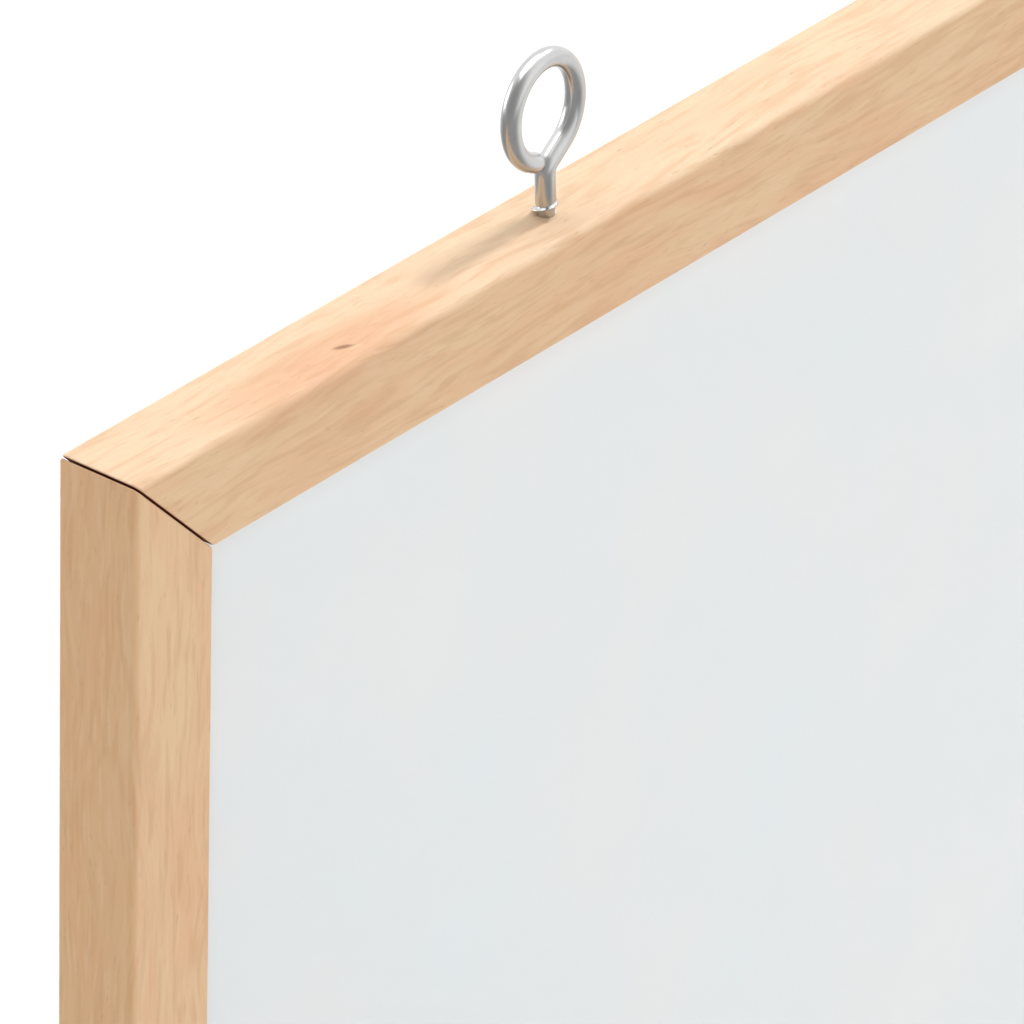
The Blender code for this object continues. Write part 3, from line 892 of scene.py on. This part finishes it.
def white_lacquer():
    """Baked white lacquer that has been wiped many times."""
    finish, tree, shader = new_finish("white_lacquer_coat")
    place = own_place(tree)
    cloud = ease(tree, marks(tree, place, (0.045, 0.045, 0.045), 3.0), 0.30, 0.70)
    colour = tint(tree, cloud, on_screen(232, 238, 240), on_screen(237, 238, 238))
    parts = add(tree, "ShaderNodeSeparateXYZ", {0: place}).outputs
    height = figure(tree, "ABSOLUTE", figure(tree, "SUBTRACT", parts["Z"], centre_height))
    from_side = figure(tree, "SUBTRACT", WIDTH / 2 - FACE_WIDTH, figure(tree, "ABSOLUTE", parts["X"]))
    from_top = figure(tree, "SUBTRACT", HEIGHT / 2 - FACE_WIDTH, height)
    # Painted shade along the frame's lip.
    lip_shade = ease(tree, figure(tree, "MINIMUM", from_side, from_top), *LIP_SHADE_FADE, LIP_SHADE_SHARE, 0.0)
    colour = tint(tree, lip_shade, colour, on_screen(220, 222, 222))
    wiped = ease(tree, marks(tree, place, (0.060, 0.020, 0.030), 2.0, 0.5), 0.30, 0.80)
    peel = marks(tree, place, (0.0016, 0.0016, 0.0016), 2.0)
    bump = add(tree, "ShaderNodeBump", {"Strength": 0.06, "Distance": 0.00001, "Height": peel})
    tree.links.new(colour, shader.inputs["Base Color"])
    tree.links.new(ease(tree, wiped, 0.0, 1.0, 0.30, 0.36), shader.inputs["Roughness"])
    tree.links.new(bump.outputs[0], shader.inputs["Normal"])
    return finish


# %% Fibreboard
def fibreboard():
    """Dense brown board of pressed fibres, darker where they bunch."""
    finish, tree, shader = new_finish("brown_fibreboard")
    place = own_place(tree)
    fibres = marks(tree, place, (0.0012, 0.0003, 0.0005), 3.0, 0.7)
    specks = ease(tree, marks(tree, place, (0.0008, 0.0008, 0.0008), 2.0, 0.6), 0.62, 0.72)
    colour = tint(tree, ease(tree, fibres, 0.3, 0.7), on_screen(136, 104, 74), on_screen(172, 138, 102))
    colour = tint(tree, figure(tree, "MULTIPLY", specks, 0.5), colour, on_screen(92, 66, 46))
    bump = add(tree, "ShaderNodeBump", {"Strength": 0.5, "Distance": 0.00005, "Height": fibres})
    tree.links.new(colour, shader.inputs["Base Color"])
    tree.links.new(bump.outputs[0], shader.inputs["Normal"])
    shader.inputs["Roughness"].default_value = 0.85
    return finish


# %% Kraft paper
def kraft_paper():
    """Unbleached paper: a warm brown with pale and dark fibres lying every way."""
    finish, tree, shader = new_finish("kraft_paper")
    place = own_place(tree)
    cloud = ease(tree, marks(tree, place, (0.010, 0.010, 0.010), 4.0, 0.6), 0.30, 0.70)
    level = ease(tree, marks(tree, place, (0.0030, 0.0002, 0.0002), 2.0), 0.60, 0.72)
    upright = ease(tree, marks(tree, place, (0.0002, 0.0002, 0.0026), 2.0, 0.5, (7.0, 3.0, 5.0)), 0.60, 0.72)
    colour = tint(tree, cloud, on_screen(190, 158, 122), on_screen(197, 166, 130))
    colour = tint(tree, figure(tree, "MULTIPLY", level, 0.35), colour, on_screen(222, 196, 162))
    colour = tint(tree, figure(tree, "MULTIPLY", upright, 0.30), colour, on_screen(138, 106, 76))
    height = figure(tree, "ADD", level, cloud)
    bump = add(tree, "ShaderNodeBump", {"Strength": 0.4, "Distance": 0.00004, "Height": height})
    tree.links.new(colour, shader.inputs["Base Color"])
    tree.links.new(bump.outputs[0], shader.inputs["Normal"])
    shader.inputs["Roughness"].default_value = 0.88
    return finish


# %% Finish the panel's solids
panel = {"writing_sheet": white_lacquer(), "core_board": fibreboard(), "back_liner": kraft_paper()}
for node, finish in panel.items():
    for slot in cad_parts[node].material_slots:
        slot.material = finish
    print(node, "is finished in", finish.name)

# %% [markdown]
# ## Floor and background
#
# The board stands on a pale floor, seen against white. A floor lit by lamps grows darker with
# distance and would show a grey line at the horizon. So far from the board the floor simply turns
# into the background's white for camera rays, and for glossy ones, so that the zinc sees the same
# white room. Near the board it stays a real surface that carries the shadow. Metal in an evenly
# white room would look like chalk. So what it mirrors is a little brighter than white on one side
# and darker towards the camera's side, as in a studio.

# %% What sees the white background
def sees_background(tree):
    """1 for camera, glossy and transmission rays, 0 for the rays that light the board."""
    rays = add(tree, "ShaderNodeLightPath").outputs
    shown = figure(tree, "MAXIMUM", rays["Is Camera Ray"], rays["Is Glossy Ray"])
    return figure(tree, "MAXIMUM", shown, rays["Is Transmission Ray"])


# %% A darker side to the room
# The last two say what metal mirrors of the floor and of the world. Their first two numbers are
# cosines to the dim side, where the light starts to fall and where it has fallen to DIM_LIGHT. The
# third is how bright it is before that.
DIM_SIDE = Vector((-0.88, -0.25, 0.41))
DIM_LIGHT = 0.42
FLOOR_MIRRORED = (-0.5, 0.5, 1.05)
WORLD_MIRRORED = (0.1, 0.9, 1.2)


def room_light(tree, way, low, high, bright):
    """1, but for metal's reflections it goes from bright to dim towards the photographer's side."""
    wires = {0: way, 1: DIM_SIDE}
    facing = add(tree, "ShaderNodeVectorMath", wires, operation="DOT_PRODUCT").outputs["Value"]
    glossy = add(tree, "ShaderNodeLightPath").outputs["Is Glossy Ray"]
    change = ease(tree, facing, low, high, bright - 1.0, DIM_LIGHT - 1.0)
    return figure(tree, "ADD", figure(tree, "MULTIPLY", change, glossy), 1.0)


# %% Floor
FLOOR_HALF = 12.0
FLOOR_GAP = 0.0002
FLOOR_FADE = (0.9, 1.8)
floor_finish, tree, shader = new_finish("pale_floor")
place = own_place(tree)
speckle = ease(tree, marks(tree, place, (0.02, 0.02, 0.02), 3.0), 0.3, 0.7)
tree.links.new(tint(tree, speckle, (0.86, 0.86, 0.86, 1), (0.87, 0.87, 0.87, 1)), shader.inputs["Base Color"])
shader.inputs["Roughness"].default_value = 0.9
shader.inputs["Specular IOR Level"].default_value = 0.2
way = add(tree, "ShaderNodeVectorMath", {0: place}, operation="NORMALIZE").outputs["Vector"]
share = ease(tree, length_of(tree, place), *FLOOR_FADE)
share = figure(tree, "MULTIPLY", share, sees_background(tree))
share = figure(tree, "MAXIMUM", share, add(tree, "ShaderNodeLightPath").outputs["Is Glossy Ray"])
shine = room_light(tree, way, *FLOOR_MIRRORED)
white = add(tree, "ShaderNodeEmission", {"Color": (1, 1, 1, 1), "Strength": shine})
fade = add(tree, "ShaderNodeMixShader", {0: share, 1: shader.outputs[0], 2: white.outputs[0]})
tree.links.new(fade.outputs[0], tree.nodes["Material Output"].inputs["Surface"])
corners = [(FLOOR_HALF * x, FLOOR_HALF * y, 0) for x, y in ((-1, -1), (1, -1), (1, 1), (-1, 1))]
floor_mesh = bpy.data.meshes.new("floor")
floor_mesh.from_pydata(corners, [], [(0, 1, 2, 3)])
floor_mesh.materials.append(floor_finish)
floor = bpy.data.objects.new("floor", floor_mesh)
bpy.context.scene.collection.objects.link(floor)
floor.location.z = board_low.z - FLOOR_GAP
print("floor at", floor.location.z)

# %% World
WORLD_LIGHT = 0.45
world = bpy.data.worlds.new("white_room")
world.use_nodes = True
bpy.context.scene.world = world
tree = world.node_tree
background = tree.nodes["Background"]
background.inputs["Color"].default_value = (1, 1, 1, 1)
way = add(tree, "ShaderNodeTexCoord").outputs["Generated"]
strength = ease(tree, sees_background(tree), 0.0, 1.0, WORLD_LIGHT, 1.0)
strength = figure(tree, "MULTIPLY", strength, room_light(tree, way, *WORLD_MIRRORED))
tree.links.new(strength, background.inputs["Strength"])

# %% [markdown]
# ## Lamps
#
# The photograph tells where its light came from. The shadow of the screw eye runs straight along
# the rail to the left, is about as long as the eye is tall, and is narrow but faint. So a small
# lamp stands to the right, a little under 50 degrees up, and a broad one above fills its shadow.
# The front of the frame is lighter than its left side, so a weaker one stands in front. That one is
# hidden from reflections, because the zinc in the photograph has no bright streak from the front.
# The last stands low behind and lights the board's back.

# %% Four lamps
LAMP_TARGET = Vector((-0.15, 0, 0.35))
LAMP_DISTANCE = 8.0


def lamp(name, direction, size, power, mirrored=True):
    """A square area lamp that looks at the board's top from a direction. Metal may mirror it."""
    light = bpy.data.lights.new(name, "AREA")
    light.shape = "SQUARE"
    light.size = size
    light.energy = power
    stand = bpy.data.objects.new(name, light)
    bpy.context.scene.collection.objects.link(stand)
    way = Vector(direction).normalized()
    stand.location = LAMP_TARGET + way * LAMP_DISTANCE
    stand.rotation_euler = way.to_track_quat("Z", "Y").to_euler()
    stand.visible_camera = False
    stand.visible_glossy = mirrored
    return stand


lamp("key_lamp", (0.68, 0.03, 0.73), 1.0, 335.0)
lamp("top_lamp", (0.10, 0.25, 1.0), 7.0, 275.0)
lamp("front_lamp", (0.10, -1.0, 0.35), 7.0, 172.0, mirrored=False)
lamp("back_lamp", (-0.30, 0.95, 0.15), 3.0, 172.0)

# %% [markdown]
# ## Camera
#
# The photograph shows the upper left corner, from the left and above, and its parallel edges hardly
# converge. That means a long lens from well back. Its place, lens and turns below were worked out
# from where the frame's edges and the screw eye lie in the photograph.

# %% Camera
HEADING = math.radians(51.8017)
TILT = math.radians(30.3443)
ROLL = math.radians(1.5531)
CAMERA_PLACE = (-1.45225, -0.99378, 1.28433)
SENSOR_WIDTH = 36.0
LENS = 375.4335
CLIP_START = 0.05
camera = bpy.data.objects.new("camera", bpy.data.cameras.new("camera"))
bpy.context.scene.collection.objects.link(camera)
camera.location = CAMERA_PLACE
aim = Matrix.Rotation(-HEADING, 3, "Z") @ Matrix.Rotation(math.pi / 2 - TILT, 3, "X")
aim = aim @ Matrix.Rotation(ROLL, 3, "Z")
camera.rotation_euler = aim.to_euler()
camera.data.sensor_width = SENSOR_WIDTH
camera.data.lens = LENS
camera.data.clip_start = CLIP_START
bpy.context.scene.camera = camera
bpy.context.scene.view_settings.view_transform = "Standard"
